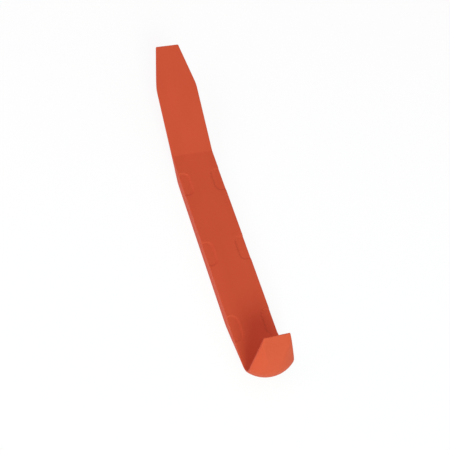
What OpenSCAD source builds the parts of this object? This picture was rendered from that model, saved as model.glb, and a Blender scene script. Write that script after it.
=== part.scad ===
// Moulded lever for taking off interior trim: a flat handle with finger grips, a chisel raised at
// one end and a hook turned up at the other. Both blades have a flat face and a crowned back.

/* [Handle] */
// Width of the handle, and of both blades where they leave it
handle_w = 25; // [20:0.5:32]
// Thickness of the handle
handle_t = 8.25; // [7:0.25:11]
// Length of the handle's flat top, from the chisel's bend to the hook's bend
handle_l = 137.25; // [125:0.25:180]
// Radius of the handle's two lower edges
lower_edge_r = 2; // [0.5:0.25:3.5]

/* [Finger grips] */
// Grips along each edge of the handle
grip_count = 3; // [1:1:3]
// Length of a grip along the handle
grip_l = 16.25; // [10:0.25:22]
// Width of a grip, in from the handle's edge
grip_w = 6.25; // [4:0.25:8]
// Depth of a grip below the handle's top
grip_depth = 0.45; // [0.3:0.05:1.5]
// Width of a grip's sloping wall, seen from above
grip_wall = 1; // [0.3:0.1:1.5]
// Radius of a grip's two inner corners, at the handle's top
grip_corner_r = 4; // [2:0.25:4.5]
// Distance from one grip to the next
grip_pitch = 48; // [30:0.5:50]

/* [Chisel] */
// Angle by which the chisel rises from the handle
chisel_angle = 18; // [10:0.5:25]
// Length of the chisel's face
chisel_l = 69.5; // [60:0.5:90]
// Length of the chisel that keeps the handle's width
chisel_shoulder = 43; // [25:0.25:50]
// Width of the chisel's tip
chisel_tip_w = 14; // [8:0.5:18]
// Thickness of the chisel's tip
chisel_tip_t = 1.2; // [0.8:0.1:2]
// Thickness of the chisel in its middle, at its bend
chisel_root_t = 4.2; // [3:0.1:5.5]
// Thickness of the chisel at its long edges
chisel_edge_t = 1.5; // [1:0.1:2.4]

/* [Hook] */
// Angle by which the hook turns up from the handle
hook_angle = 104.25; // [90:0.25:115]
// Radius inside the hook's bend
hook_inner_r = 7.5; // [3:0.25:10]
// Length of the hook's face above its bend
hook_l = 22.25; // [16:0.25:32]
// Length of the hook's face that keeps the handle's width
hook_shoulder = 0.25; // [0:0.25:6]
// Width of the hook's tip
hook_tip_w = 14.5; // [10:0.5:18]
// Thickness of the hook's tip
hook_tip_t = 0.6; // [0.4:0.1:2.5]
// Thickness of the heel in its middle
heel_t = 5.75; // [4.5:0.25:8]
// Thickness of the heel at its two sides
heel_edge_t = 0.8; // [0.5:0.1:3]
// Angle at which the heel's crown runs out along the handle
heel_run_angle = 12; // [6:0.5:15]
// Angle at which the heel's crown runs out along the hook
heel_rise_angle = 6; // [3:0.5:10]

/* [Hidden] */
$fn = 96;
// How far a cut runs past the surface that it cuts, and a length greater than the part's own
spare = 1;
reach = handle_l + chisel_l;
half_w = handle_w / 2;

// Radius of an arc that spans the handle's width and rises by this much in its middle
function crown_r(rise) = (half_w * half_w + rise * rise) / (2 * rise);

// Points of the lengthwise section are [y, z] pairs, from the chisel's bend at the handle's top.
// A surface that has turned up from the handle by some angle runs along(turn), with its back out_of(turn).
function along(turn) = [-cos(turn), sin(turn)];
function out_of(turn) = [-sin(turn), -cos(turn)];
// Where two lines of the section cross, each given by a point and a direction
function cross_at(p, d, q, e) = p + d * ((q - p).x * e.y - (q - p).y * e.x) / (d.x * e.y - d.y * e.x);

// The row of grips is centred on the handle's flat top
grip_row_l = (grip_count - 1) * grip_pitch + grip_l;
grip_start = (handle_l - grip_row_l) / 2;

// Chisel: its face rises from the bend, and its back is a wedge that thins to the tip
chisel_dir = [cos(chisel_angle), sin(chisel_angle)];
chisel_down = [sin(chisel_angle), -cos(chisel_angle)];
chisel_tip = chisel_l * chisel_dir;
chisel_tip_back = chisel_tip + chisel_tip_t * chisel_down;
chisel_root_back = chisel_root_t * chisel_down;
chisel_heel = cross_at(chisel_tip_back, chisel_root_back - chisel_tip_back, [0, -handle_t], [1, 0]);
chisel_crown_r = crown_r(chisel_root_t - chisel_edge_t);

// Hook: it bends about an axis across the handle, and its back leans in to meet the tip
hook_axis = [-handle_l, hook_inner_r];
hook_root = hook_axis + hook_inner_r * out_of(hook_angle);
hook_tip = hook_root + hook_l * along(hook_angle);
heel_r = hook_inner_r + heel_t;
hook_taper = asin((heel_r - hook_tip_t) / norm([hook_inner_r, hook_l])) - atan(hook_inner_r / hook_l);
hook_back_turn = hook_angle + hook_taper;
hook_back = hook_axis + heel_r * out_of(hook_back_turn);
hook_tip_back = cross_at(hook_back, along(hook_back_turn), hook_tip, out_of(hook_angle));
hook_heel = cross_at(hook_back, along(hook_back_turn), [0, -handle_t], [1, 0]);

// Heel: its crown is a round bar's surface, bent about the hook's axis and run out straight at both ends
heel_crown_r = crown_r(heel_t - heel_edge_t);
heel_crown_offset = heel_r - heel_crown_r;
// The straight runs lie this much deeper than the bent one, so that their surfaces cross
heel_sink = 0.05;
heel_rise_turn = hook_back_turn - heel_rise_angle;

// The part lies on the handle's flat back, centred on its own length
front_y = chisel_tip_back.x;
rear_y = hook_axis.x - heel_r;

// Lengthwise section through the middle, with a square heel
module side_outline() {
    difference() {
        polygon([
            [0, 0], chisel_tip, chisel_tip_back, chisel_heel, hook_heel,
            hook_tip_back, hook_tip, hook_root, hook_axis, [hook_axis.x, 0]
        ]);
        translate(hook_axis) circle(r = hook_inner_r);
    }
}

// Cross-section of the handle, carried up past both blades
module handle_section() {
    translate([-half_w, lower_edge_r - handle_t]) square([handle_w, reach]);
    translate([lower_edge_r - half_w, -handle_t]) square([handle_w - 2 * lower_edge_r, reach]);
    for (side = [-1, 1])
        translate([side * (half_w - lower_edge_r), lower_edge_r - handle_t]) circle(r = lower_edge_r);
}

// Lever before its backs are crowned and its blades tapered
module blank() {
    intersection() {
        rotate([90, 0, 90]) linear_extrude(handle_w, center = true) side_outline();
        rotate([90, 0, 0]) linear_extrude(2 * reach, center = true) handle_section();
    }
}

// Puts children, drawn with z along a blade, at a point of the section from which the blade runs
module along_blade(point, direction) {
    translate([0, point.x, point.y]) rotate([atan2(direction.y, direction.x) - 90, 0, 0]) children();
}

// What the crown takes off the chisel's back and the handle's front half
module chisel_crown_cut() {
    start = -handle_l / 2 * chisel_dir;
    run = handle_l / 2 + chisel_l + spare;
    difference() {
        along_blade(start, chisel_dir) translate([-reach / 2, -reach / 2, 0]) cube([reach, reach, run]);
        along_blade(start + chisel_root_back - chisel_crown_r * chisel_down, chisel_dir)
            translate([0, 0, -spare]) cylinder(r = chisel_crown_r, h = run + 2 * spare);
    }
}

// Part of the crown's disc that turns about the hook's axis
module heel_crown_section() {
    intersection() {
        translate([heel_crown_offset, 0]) circle(r = heel_crown_r);
        translate([0, -half_w - spare]) square([reach, handle_w + 2 * spare]);
    }
}

// Straight bar that carries the heel's crown on, from where the crown has turned up by some angle
module heel_crown_run(turn, direction) {
    start = hook_axis + (heel_crown_offset - heel_sink) * out_of(turn) - spare / 2 * direction;
    along_blade(start, direction) cylinder(r = heel_crown_r, h = reach);
}

// What the crown takes off the heel, the hook's back and the handle's rear half
module heel_crown_cut() {
    difference() {
        translate([-reach / 2, hook_axis.x - reach, -reach / 2]) cube([reach, reach + handle_l / 2, reach]);
        heel_crown_run(heel_run_angle, -along(heel_run_angle));
        heel_crown_run(heel_rise_turn, along(heel_rise_turn));
        translate([0, hook_axis.x, hook_axis.y]) rotate([0, 90, 0]) rotate_extrude() heel_crown_section();
    }
}

// Cuts both sides of a blade to a taper. The blade runs along z with its face at y = 0,
// and its back lies towards +y, or towards -y where back is -1.
module taper_cuts(start, end, end_w, back) {
    slope = (half_w - end_w / 2) / (end - start);
    before = start - spare;
    past = end + spare;
    outer = half_w + spare;
    translate([0, back * (reach / 2 - spare), 0]) rotate([90, 0, 0]) linear_extrude(reach, center = true)
        for (side = [-1, 1])
            polygon([
                [side * (half_w + slope * spare), before], [side * (end_w / 2 - slope * spare), past],
                [side * outer, past], [side * outer, before]
            ]);
}

// One grip on the right edge: a shallow pocket, open at the handle's side. Its wall slopes all round,
// as two crossed wedges with a cone at each inner corner, and is drawn on past the handle's top.
module grip_pocket() {
    slope = grip_wall / grip_depth;
    over = slope * spare;
    open_w = grip_w + spare;
    straight_l = grip_l - 2 * grip_corner_r;
    translate([half_w - grip_w, 0, 0]) {
        translate([0, grip_corner_r + straight_l, 0]) rotate([90, 0, 0]) linear_extrude(straight_l)
            polygon([[grip_wall, -grip_depth], [open_w, -grip_depth], [open_w, spare], [-over, spare]]);
        translate([grip_corner_r, 0, 0]) rotate([90, 0, 90]) linear_extrude(open_w - grip_corner_r)
            polygon([
                [grip_wall, -grip_depth], [grip_l - grip_wall, -grip_depth],
                [grip_l + over, spare], [-over, spare]
            ]);
        for (y = [grip_corner_r, grip_l - grip_corner_r])
            translate([grip_corner_r, y, -grip_depth])
                cylinder(r1 = grip_corner_r - grip_wall, r2 = grip_corner_r + over, h = grip_depth + spare);
    }
}

module grip_pockets() {
    for (n = [0:grip_count - 1], side = [0, 1])
        mirror([side, 0, 0]) translate([0, -grip_start - n * grip_pitch - grip_l, 0]) grip_pocket();
}

module trim_tool() {
    color([0.77, 0.31, 0.2])
        translate([0, -(front_y + rear_y) / 2, handle_t])
            difference() {
                blank();
                chisel_crown_cut();
                heel_crown_cut();
                along_blade([0, 0], chisel_dir) taper_cuts(chisel_shoulder, chisel_l, chisel_tip_w, 1);
                along_blade(hook_root, along(hook_angle)) taper_cuts(hook_shoulder, hook_l, hook_tip_w, -1);
                grip_pockets();
            }
}

trim_tool();
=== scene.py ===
"""Moulded nylon trim lever, lying on a white sheet under soft studio light."""
import math
from collections import namedtuple

import bmesh
import bpy
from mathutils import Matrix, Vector


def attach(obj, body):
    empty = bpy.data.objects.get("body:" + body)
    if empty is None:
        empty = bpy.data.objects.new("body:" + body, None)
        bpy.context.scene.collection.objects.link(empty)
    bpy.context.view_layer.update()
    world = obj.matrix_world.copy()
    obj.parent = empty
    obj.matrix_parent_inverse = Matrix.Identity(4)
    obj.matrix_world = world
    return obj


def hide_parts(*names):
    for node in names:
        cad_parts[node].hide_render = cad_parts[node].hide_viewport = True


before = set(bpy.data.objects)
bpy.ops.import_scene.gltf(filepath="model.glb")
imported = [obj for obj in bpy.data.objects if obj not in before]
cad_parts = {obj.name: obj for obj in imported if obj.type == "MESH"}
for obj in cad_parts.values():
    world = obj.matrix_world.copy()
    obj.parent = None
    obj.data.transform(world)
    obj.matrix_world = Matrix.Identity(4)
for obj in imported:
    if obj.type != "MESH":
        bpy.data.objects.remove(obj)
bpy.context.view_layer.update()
scene = bpy.context.scene
MM = 0.001

# Sizes of the lever in millimetres and degrees, the same as in the part's source
HANDLE_W, HANDLE_T, HANDLE_L, LOWER_EDGE_R = 25.0, 8.25, 137.25, 2.0
GRIP_COUNT, GRIP_PITCH = 3, 48.0
GRIP_L, GRIP_W, GRIP_DEPTH, GRIP_WALL, GRIP_CORNER_R = 16.25, 6.25, 0.45, 1.0, 4.0
CHISEL_ANGLE, CHISEL_L, CHISEL_SHOULDER, CHISEL_TIP_W = 18.0, 69.5, 43.0, 14.0
CHISEL_TIP_T, CHISEL_ROOT_T, CHISEL_EDGE_T = 1.2, 4.2, 1.5
HOOK_ANGLE, HOOK_INNER_R, HOOK_L, HOOK_SHOULDER = 104.25, 7.5, 22.25, 0.25
HOOK_TIP_W, HOOK_TIP_T = 14.5, 0.6
HEEL_T, HEEL_EDGE_T, HEEL_RUN_ANGLE, HEEL_RISE_ANGLE = 5.75, 0.8, 12.0, 6.0
HALF_W = HANDLE_W / 2

# Softening that a mould leaves. An edge's radius is at most this share of its side's depth.
EDGE_R = 0.3
THIN_EDGE_SHARE = 0.3
# The back's edge is rounded as well where a side is thin: fully at the first depth, not at all at the second
THIN_SIDE, THICK_SIDE = 3.0, 4.5
# Radii of the tips' corners and of the chisel's bend
TIP_CORNER_R = 0.45
BEND_R = 3.0
# How far two backs blend into each other, and over what length a blade's shoulder eases
BLEND = 0.12
SHOULDER_EASE = 1.0
# How far down a side the painted highlight of its edge fades out, and how far the heel stays inside the solid's
# facets
EDGE_HIGHLIGHT_DEPTH = 0.6
HEEL_INSET = 0.02
# A surface of the back that faces a section less than this isn't met by it
LEAST_FACING = 0.05

# Distances from an edge at which the surface has a row of points, so that its rounding is followed
EDGE_GAPS = [0, 0.02, 0.07, 0.15, 0.26, 0.4, 0.6, 0.8]
# Steps between the other rows, in millimetres along the lever and in degrees round its bends
CHISEL_TAPER_STEP, CHISEL_STEP, CHISEL_BEND_STEP = 0.9, 1.2, 2.5
HANDLE_STEP, GRIP_STEP, HANDLE_END_STEP = 1.6, 0.33, 1.2
HOOK_BEND_STEP, HOOK_STEP = 2.4, 0.6
# Distance from a tip at which the even steps begin, and how far past a grip its close steps go
TIP_ROWS_L = 1.0
GRIP_MARGIN = 0.5


def along(turn):
    """Direction of a face that has turned up from the handle, in the lengthwise section."""
    return Vector((-math.cos(math.radians(turn)), math.sin(math.radians(turn))))


def out_of(turn):
    """Direction in which that face's back lies."""
    return Vector((-math.sin(math.radians(turn)), -math.cos(math.radians(turn))))


def crown_radius(rise):
    """Radius of an arc that spans the handle's width and rises by this much in its middle."""
    return (HALF_W ** 2 + rise ** 2) / (2 * rise)


def spaced(start, end, step):
    """Even steps from start up to end, which is left for the next run."""
    count = max(1, math.ceil(abs(end - start) / step))
    return [start + (end - start) * n / count for n in range(count)]


# The lengthwise section is measured from the chisel's bend at the handle's top
CHISEL_DIR = along(180 - CHISEL_ANGLE)
CHISEL_DOWN = out_of(-CHISEL_ANGLE)
CHISEL_TIP_BACK = CHISEL_L * CHISEL_DIR + CHISEL_TIP_T * CHISEL_DOWN
WEDGE_RUN = (CHISEL_TIP_BACK - CHISEL_ROOT_T * CHISEL_DOWN).normalized()
WEDGE_DOWN = Vector((WEDGE_RUN.y, -WEDGE_RUN.x))
CHISEL_CROWN_R = crown_radius(CHISEL_ROOT_T - CHISEL_EDGE_T)
# Length of face that the bend's fillet takes on each side
BEND_L = BEND_R * math.tan(math.radians(CHISEL_ANGLE / 2))

HOOK_AXIS = Vector((-HANDLE_L, HOOK_INNER_R))
HOOK_ROOT = HOOK_AXIS + HOOK_INNER_R * out_of(HOOK_ANGLE)
HEEL_R = HOOK_INNER_R + HEEL_T
HOOK_TAPER = math.degrees(math.asin((HEEL_R - HOOK_TIP_T) / math.hypot(HOOK_INNER_R, HOOK_L))
                          - math.atan(HOOK_INNER_R / HOOK_L))
HOOK_BACK_TURN = HOOK_ANGLE + HOOK_TAPER
HEEL_RISE_TURN = HOOK_BACK_TURN - HEEL_RISE_ANGLE
HEEL_CROWN_R = crown_radius(HEEL_T - HEEL_EDGE_T)

GRIP_START = (HANDLE_L - (GRIP_COUNT - 1) * GRIP_PITCH - GRIP_L) / 2
# Brings the middle of the lever's length to the frame's origin
LENGTH_SHIFT = -(CHISEL_TIP_BACK.x + HOOK_AXIS.x - HEEL_R) / 2

# A cross-section of the lever: a point on its face, the direction to its back, half its width there,
# and the distance to the end of its blade
Station = namedtuple("Station", "place down half_w end_gap")


def tip_width(half_w, gap):
    """Half width of a blade near its tip, with the tip's two corners rounded."""
    short = max(0.0, TIP_CORNER_R - gap)
    return half_w - TIP_CORNER_R + math.sqrt(TIP_CORNER_R ** 2 - short ** 2)


def blade_half_w(gap, taper_l, tip_w):
    """Half width of a blade at a distance from its tip, with its shoulder eased."""
    run = SHOULDER_EASE * math.log1p(math.exp((taper_l - gap) / SHOULDER_EASE))
    return tip_width(HALF_W - run / taper_l * (HALF_W - tip_w / 2), gap)


def chisel_stations():
    """From the chisel's tip to its bend."""
    taper_l = CHISEL_L - CHISEL_SHOULDER
    gaps = EDGE_GAPS + spaced(TIP_ROWS_L, taper_l, CHISEL_TAPER_STEP)
    gaps += spaced(taper_l, CHISEL_L - BEND_L, CHISEL_STEP)
    for gap in gaps:
        half_w = blade_half_w(gap, taper_l, CHISEL_TIP_W)
        yield Station((CHISEL_L - gap) * CHISEL_DIR, CHISEL_DOWN, half_w, gap)
    for turn in spaced(CHISEL_ANGLE, 0, CHISEL_BEND_STEP):
        down = out_of(-turn)
        yield Station(Vector((-BEND_L, BEND_R)) + BEND_R * down, down, HALF_W, CHISEL_L)


def handle_stations():
    """Along the handle's flat top, close together at the grips."""
    place = BEND_L
    distances = []
    for n in range(GRIP_COUNT):
        grip = GRIP_START + n * GRIP_PITCH
        past_grip = grip + GRIP_L + GRIP_MARGIN
        distances += spaced(place, grip - GRIP_MARGIN, HANDLE_STEP)
        distances += spaced(grip - GRIP_MARGIN, past_grip, GRIP_STEP)
        place = past_grip
    distances += spaced(place, HANDLE_L, HANDLE_END_STEP)
    for distance in distances:
        yield Station(Vector((-distance, 0)), out_of(0), HALF_W, HANDLE_L)


def hook_stations():
    """Round the hook's bend and up to its tip."""
    for turn in spaced(0, HOOK_ANGLE, HOOK_BEND_STEP):
        yield Station(HOOK_AXIS + HOOK_INNER_R * out_of(turn), out_of(turn), HALF_W, HANDLE_L)
    taper_l = HOOK_L - HOOK_SHOULDER
    gaps = spaced(HOOK_L, taper_l, HOOK_STEP) + spaced(taper_l, TIP_ROWS_L, HOOK_STEP)
    gaps += [TIP_ROWS_L] + EDGE_GAPS[::-1]
    for gap in gaps:
        place = HOOK_ROOT + (HOOK_L - gap) * along(HOOK_ANGLE)
        yield Station(place, out_of(HOOK_ANGLE), blade_half_w(gap, taper_l, HOOK_TIP_W), gap)


def reach_plane(station, point, outward):
    """How far below the face a plane of the back lies, or None where the section doesn't meet it."""
    facing = station.down.dot(outward)
    return (point - station.place).dot(outward) / facing if facing > LEAST_FACING else None


def heel_reach(station, crown):
    """How far below the face the heel's crown lies, which is bent round the hook's axis."""
    offset = station.place - HOOK_AXIS
    lean = offset.dot(station.down)
    inside = lean ** 2 - offset.length_squared + crown ** 2
    turn = HEEL_RUN_ANGLE if offset.y < 0 else HEEL_RISE_TURN
    if inside > 0:
        exit_point = offset + (math.sqrt(inside) - lean) * station.down
        turn = math.degrees(math.atan2(-exit_point.x, -exit_point.y))
        if turn < -90:
            turn += 360
    turn = min(max(turn, HEEL_RUN_ANGLE), HEEL_RISE_TURN)
    return reach_plane(station, HOOK_AXIS + crown * out_of(turn), out_of(turn))


def back_depth(station, x):
    """Depth of the lever's back below its face, at a distance from the lever's middle."""
    bottom = HANDLE_T
    past = abs(x) - HALF_W + LOWER_EDGE_R
    if past > 0:
        bottom -= LOWER_EDGE_R - math.sqrt(max(0.0, LOWER_EDGE_R ** 2 - past ** 2))
    chisel_crown = CHISEL_ROOT_T - CHISEL_CROWN_R + math.sqrt(CHISEL_CROWN_R ** 2 - x * x)
    heel_crown = HEEL_R - HEEL_INSET - HEEL_CROWN_R + math.sqrt(HEEL_CROWN_R ** 2 - x * x)
    reaches = [
        reach_plane(station, Vector((0, -bottom)), out_of(0)),
        reach_plane(station, CHISEL_TIP_BACK, WEDGE_DOWN),
        reach_plane(station, chisel_crown * CHISEL_DOWN, CHISEL_DOWN),
        reach_plane(station, HOOK_AXIS + HEEL_R * out_of(HOOK_BACK_TURN), out_of(HOOK_BACK_TURN)),
        heel_reach(station, heel_crown),
    ]
    reaches = [r for r in reaches if r is not None]
    least = min(reaches)
    return least - BLEND * math.log(sum(math.exp((least - r) / BLEND) for r in reaches))


def grip_drop(station, side_gap):
    """How far a grip lowers the handle's top, with a wall that eases in and out."""
    if station.down.x != 0 or station.end_gap < HANDLE_L:
        return 0.0
    drop = 0.0
    for n in range(GRIP_COUNT):
        middle = GRIP_START + n * GRIP_PITCH + GRIP_L / 2
        over = Vector((side_gap - GRIP_W + GRIP_CORNER_R,
                       abs(-station.place.x - middle) - GRIP_L / 2 + GRIP_CORNER_R))
        outside = Vector((max(over.x, 0), max(over.y, 0))).length
        inside = GRIP_CORNER_R - outside - min(max(over.x, over.y), 0)
        share = min(max(inside / GRIP_WALL, 0), 1)
        drop = max(drop, GRIP_DEPTH * share * share * (3 - 2 * share))
    return drop


# Columns of points across the lever: distances in from a side, out to the width of the band that they cover,
# then shares of what is left in the middle
SIDE_BAND, SIDE_STEP = 6.8, 0.35
SIDE_GAPS = EDGE_GAPS + [1.02, 1.25, 1.6] + spaced(2.0, SIDE_BAND, SIDE_STEP)
MIDDLE_STEPS = 5
MIDDLE_SHARES = [n / MIDDLE_STEPS - 1 for n in range(2 * MIDDLE_STEPS + 1)]
COLUMNS = (
    [(-1, gap) for gap in SIDE_GAPS]
    + [(0, share) for share in MIDDLE_SHARES]
    + [(1, gap) for gap in SIDE_GAPS[::-1]]
)
# Half width below which the columns are drawn together
NARROW_HALF_W = 7.4


def across(column, half_w):
    """Place of a column across a station."""
    side, value = column
    squeeze = min(1.0, half_w / NARROW_HALF_W)
    if side:
        return side * (half_w - value * squeeze)
    return value * (half_w - SIDE_BAND * squeeze)


def moulded_lever(material):
    """A sheet of points laid over the lever's face and its back, joined round the edges."""
    rows = list(chisel_stations()) + list(handle_stations()) + list(hook_stations())
    shape = bmesh.new()
    # Share of an edge's rounding at each point: it places the painted highlight on the edges in the material
    edge_highlight = shape.verts.layers.float.new("edge_highlight")
    bmesh.ops.create_grid(shape, x_segments=len(COLUMNS) - 1, y_segments=len(rows) - 1, size=1)
    back = list(shape.verts)
    raised = bmesh.ops.extrude_face_region(shape, geom=shape.faces[:], use_keep_orig=True)
    face = [v for v in raised["geom"] if isinstance(v, bmesh.types.BMVert)]
    edge_depths = [back_depth(row, row.half_w) for row in rows]
    for verts, is_face in ((face, True), (back, False)):
        for vert in verts:
            number = round((vert.co.y + 1) / 2 * (len(rows) - 1))
            row = rows[number]
            x = across(COLUMNS[round((vert.co.x + 1) / 2 * (len(COLUMNS) - 1))], row.half_w)
            side_gap = row.half_w - abs(x)
            radius = min(EDGE_R, THIN_EDGE_SHARE * edge_depths[number])
            short = max(0.0, radius - side_gap) ** 2 + max(0.0, radius - row.end_gap) ** 2
            rounding = radius - math.sqrt(max(0.0, radius ** 2 - short))
            if is_face:
                depth = rounding + grip_drop(row, side_gap)
            else:
                thin = min(max((THICK_SIDE - edge_depths[number]) / (THICK_SIDE - THIN_SIDE), 0), 1)
                depth = back_depth(row, x) - rounding * thin
            point = row.place + depth * row.down
            vert.co = Vector((x, point.x + LENGTH_SHIFT, point.y + HANDLE_T)) * MM
            vert[edge_highlight] = rounding / radius
    on_face = set(face)
    sides = [e for e in shape.edges if (e.verts[0] in on_face) != (e.verts[1] in on_face)]
    made = bmesh.ops.subdivide_edges(shape, edges=sides, cuts=2)
    between = [v for v in made["geom_inner"] if isinstance(v, bmesh.types.BMVert)]
    added = set(between)
    for vert in between:
        edge = next(v for v in (e.other_vert(vert) for e in vert.link_edges) if v not in added)
        step = vert.co - edge.co
        vert.co = edge.co + step * min(1, EDGE_HIGHLIGHT_DEPTH * MM / step.length)
        vert[edge_highlight] = 0
    bmesh.ops.recalc_face_normals(shape, faces=shape.faces[:])
    for flat in shape.faces:
        flat.smooth = True
    mesh = bpy.data.meshes.new("moulded_lever")
    shape.to_mesh(mesh)
    shape.free()
    mesh.materials.append(material)
    lever = bpy.data.objects.new("moulded_lever", mesh)
    scene.collection.objects.link(lever)
    lever.modifiers.new("even_shading", "WEIGHTED_NORMAL")
    return lever


# Colours of the nylon, between which its flow varies, and of the painted highlight on its edges
NYLON_DEEP, NYLON_LIGHT = (0.540, 0.069, 0.028), (0.570, 0.0755, 0.031)
NYLON_PAINTED_HIGHLIGHT = (0.62, 0.11, 0.05)
# Features to the metre of its flow, of the mottling of its painted edge highlight, its roughness and its grain.
# The flow is drawn out lengthwise.
FLOW_SCALE, EDGE_HIGHLIGHT_SCALE, ROUGHNESS_SCALE, GRAIN_SCALE = 70, 420, 900, 2600
FLOW_STRETCH = (1, 0.3, 1)
# How strongly an edge is painted paler as a highlight, and how rough the surface is
LEAST_EDGE_HIGHLIGHT, MOST_EDGE_HIGHLIGHT = 0.15, 0.5
LEAST_ROUGH, MOST_ROUGH = 0.65, 0.75
GRAIN_STRENGTH, GRAIN_DEPTH = 0.25, 0.02
# Range in which most of a noise lies
NOISE_LOW, NOISE_HIGH = 0.3, 0.7
# Places of the colour sockets on a Mix node
FIRST_COLOUR, SECOND_COLOUR, MIXED_COLOUR = 6, 7, 2


def nylon_material():
    """Orange-red moulded nylon: a fine satin grain, faint flow along the lever, and edges painted a little
    paler as a highlight.
    """
    material = bpy.data.materials.new("orange_nylon")
    material.use_nodes = True
    nodes, links = material.node_tree.nodes, material.node_tree.links
    shader = nodes["Principled BSDF"]
    shader.inputs["IOR"].default_value = 1.53
    shader.inputs["Specular IOR Level"].default_value = 0.12
    shader.inputs["Sheen Weight"].default_value = 0.12
    shader.inputs["Sheen Roughness"].default_value = 0.3
    place = nodes.new("ShaderNodeTexCoord")

    def noise(scale, detail, stretch=(1, 1, 1)):
        """Noise on the lever's own coordinates, with so many features to the metre."""
        mapping = nodes.new("ShaderNodeMapping")
        mapping.inputs["Scale"].default_value = stretch
        texture = nodes.new("ShaderNodeTexNoise")
        texture.inputs["Scale"].default_value = scale
        texture.inputs["Detail"].default_value = detail
        links.new(place.outputs["Object"], mapping.inputs["Vector"])
        links.new(mapping.outputs["Vector"], texture.inputs["Vector"])
        return texture.outputs["Fac"]

    def spread(value, low, high):
        """Brings the middle of a noise to the range from low to high."""
        span = nodes.new("ShaderNodeMapRange")
        span.inputs["From Min"].default_value = NOISE_LOW
        span.inputs["From Max"].default_value = NOISE_HIGH
        span.inputs["To Min"].default_value = low
        span.inputs["To Max"].default_value = high
        links.new(value, span.inputs["Value"])
        return span.outputs["Result"]

    def blend(factor, first, second):
        """Mixes two colours, each a plain colour or another node's."""
        mix = nodes.new("ShaderNodeMix")
        mix.data_type = "RGBA"
        links.new(factor, mix.inputs["Factor"])
        for socket, colour in ((mix.inputs[FIRST_COLOUR], first), (mix.inputs[SECOND_COLOUR], second)):
            if isinstance(colour, tuple):
                socket.default_value = (*colour, 1)
            else:
                links.new(colour, socket)
        return mix.outputs[MIXED_COLOUR]

    flow = spread(noise(FLOW_SCALE, detail=3, stretch=FLOW_STRETCH), 0, 1)
    nylon = blend(flow, NYLON_DEEP, NYLON_LIGHT)
    # Edges painted paler where their rounding would catch the light: a painted highlight, mottled by noise
    edge_highlight = nodes.new("ShaderNodeAttribute")
    edge_highlight.attribute_name = "edge_highlight"
    painted_highlight = nodes.new("ShaderNodeMath")
    painted_highlight.operation = "MULTIPLY"
    links.new(edge_highlight.outputs["Fac"], painted_highlight.inputs[0])
    links.new(spread(noise(EDGE_HIGHLIGHT_SCALE, detail=2), LEAST_EDGE_HIGHLIGHT, MOST_EDGE_HIGHLIGHT), painted_highlight.inputs[1])
    links.new(blend(painted_highlight.outputs[0], nylon, NYLON_PAINTED_HIGHLIGHT), shader.inputs["Base Color"])
    roughness = spread(noise(ROUGHNESS_SCALE, detail=2), LEAST_ROUGH, MOST_ROUGH)
    links.new(roughness, shader.inputs["Roughness"])
    grain = nodes.new("ShaderNodeBump")
    grain.inputs["Strength"].default_value = GRAIN_STRENGTH
    grain.inputs["Distance"].default_value = GRAIN_DEPTH * MM
    links.new(noise(GRAIN_SCALE, detail=2), grain.inputs["Height"])
    links.new(grain.outputs["Normal"], shader.inputs["Normal"])
    return material


lever = moulded_lever(nylon_material())
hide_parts("trim_tool")
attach(lever, "root")


def backdrop_rays(tree):
    """1 for rays that show the backdrop as it looks, to the camera or in a reflection, and 0 for its light."""
    path = tree.nodes.new("ShaderNodeLightPath")
    shown = path.outputs["Is Camera Ray"]
    for kind in ("Is Glossy Ray", "Is Transmission Ray"):
        either = tree.nodes.new("ShaderNodeMath")
        either.operation = "MAXIMUM"
        tree.links.new(shown, either.inputs[0])
        tree.links.new(path.outputs[kind], either.inputs[1])
        shown = either.outputs[0]
    return shown


# The floor's size in metres, and how much of its look is plain white, where the rest takes the lever's shadow
FLOOR_SIZE = 4
PLAIN_WHITE_SHARE = 0.88


def white_floor():
    """A large white sheet under the lever, white to the camera, which still takes the lever's shadow."""
    material = bpy.data.materials.new("white_sheet")
    material.use_nodes = True
    nodes, links = material.node_tree.nodes, material.node_tree.links
    sheet = nodes["Principled BSDF"]
    sheet.inputs["Base Color"].default_value = (0.95, 0.95, 0.95, 1)
    sheet.inputs["Roughness"].default_value = 0.9
    glow = nodes.new("ShaderNodeEmission")
    share = nodes.new("ShaderNodeMath")
    share.operation = "MULTIPLY"
    share.inputs[1].default_value = PLAIN_WHITE_SHARE
    mix = nodes.new("ShaderNodeMixShader")
    links.new(backdrop_rays(material.node_tree), share.inputs[0])
    links.new(share.outputs[0], mix.inputs["Fac"])
    links.new(sheet.outputs["BSDF"], mix.inputs[1])
    links.new(glow.outputs["Emission"], mix.inputs[2])
    links.new(mix.outputs["Shader"], nodes["Material Output"].inputs["Surface"])
    shape = bmesh.new()
    bmesh.ops.create_grid(shape, x_segments=1, y_segments=1, size=FLOOR_SIZE)
    mesh = bpy.data.meshes.new("floor")
    shape.to_mesh(mesh)
    shape.free()
    mesh.materials.append(material)
    floor = bpy.data.objects.new("floor", mesh)
    scene.collection.objects.link(floor)


white_floor()


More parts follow.
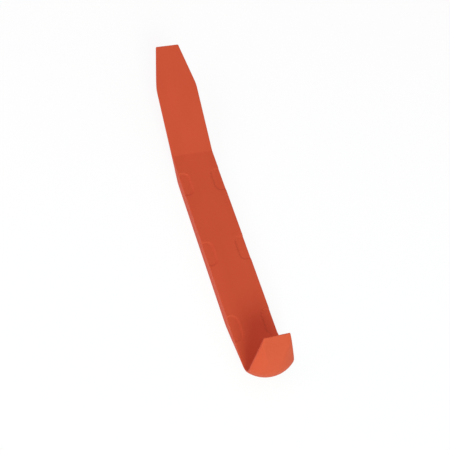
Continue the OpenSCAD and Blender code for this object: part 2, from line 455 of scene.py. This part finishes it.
def soft_box(name, place, size, power, tint):
    """A square area lamp that looks at the lever."""
    lamp = bpy.data.lights.new(name, "AREA")
    lamp.size = size
    lamp.energy = power
    lamp.color = tint
    holder = bpy.data.objects.new(name, lamp)
    holder.location = place
    holder.rotation_euler = (-Vector(place)).to_track_quat("-Z", "Y").to_euler()
    scene.collection.objects.link(holder)


# Colours of the two lamps behind the hook, and of the light from the left and from all round
KEY_TINT = (0.70, 1.22, 1.07)
FILL_TINT = (1.12, 0.915, 0.975)
STUDIO_STRENGTH = 0.525
soft_box("rear_soft_box", place=(-0.12, -0.93, 0.82), size=0.40, power=6.9, tint=KEY_TINT)
soft_box("low_soft_box", place=(-0.15, -1.2, 0.32), size=0.6, power=3.1, tint=KEY_TINT)
soft_box("left_soft_box", place=(-1.1, 0.0, 0.8), size=0.8, power=5.1, tint=FILL_TINT)


def white_studio():
    """Even light from all round, which looks plain white itself."""
    world = bpy.data.worlds.new("studio")
    scene.world = world
    world.use_nodes = True
    nodes, links = world.node_tree.nodes, world.node_tree.links
    light = nodes["Background"]
    light.inputs["Color"].default_value = (*FILL_TINT, 1)
    light.inputs["Strength"].default_value = STUDIO_STRENGTH
    white = nodes.new("ShaderNodeBackground")
    white.inputs["Color"].default_value = (1, 1, 1, 1)
    mix = nodes.new("ShaderNodeMixShader")
    links.new(backdrop_rays(world.node_tree), mix.inputs["Fac"])
    links.new(light.outputs["Background"], mix.inputs[1])
    links.new(white.outputs["Background"], mix.inputs[2])
    links.new(mix.outputs["Shader"], nodes["World Output"].inputs["Surface"])


white_studio()

# The camera as fitted to the photo: its place in metres, its turns in degrees, its lens in millimetres
CAMERA_PLACE = (-0.182439, -0.309525, 0.531106)
CAMERA_TURNS = (32.7669, -9.6937, -17.2984)
CAMERA_LENS, SENSOR_WIDTH = 88.054, 36

camera = bpy.data.cameras.new("camera")
camera.sensor_width = SENSOR_WIDTH
camera.lens = CAMERA_LENS
holder = bpy.data.objects.new("camera", camera)
holder.location = CAMERA_PLACE
holder.rotation_euler = [math.radians(turn) for turn in CAMERA_TURNS]
scene.collection.objects.link(holder)
scene.camera = holder

scene.view_settings.view_transform = "Standard"
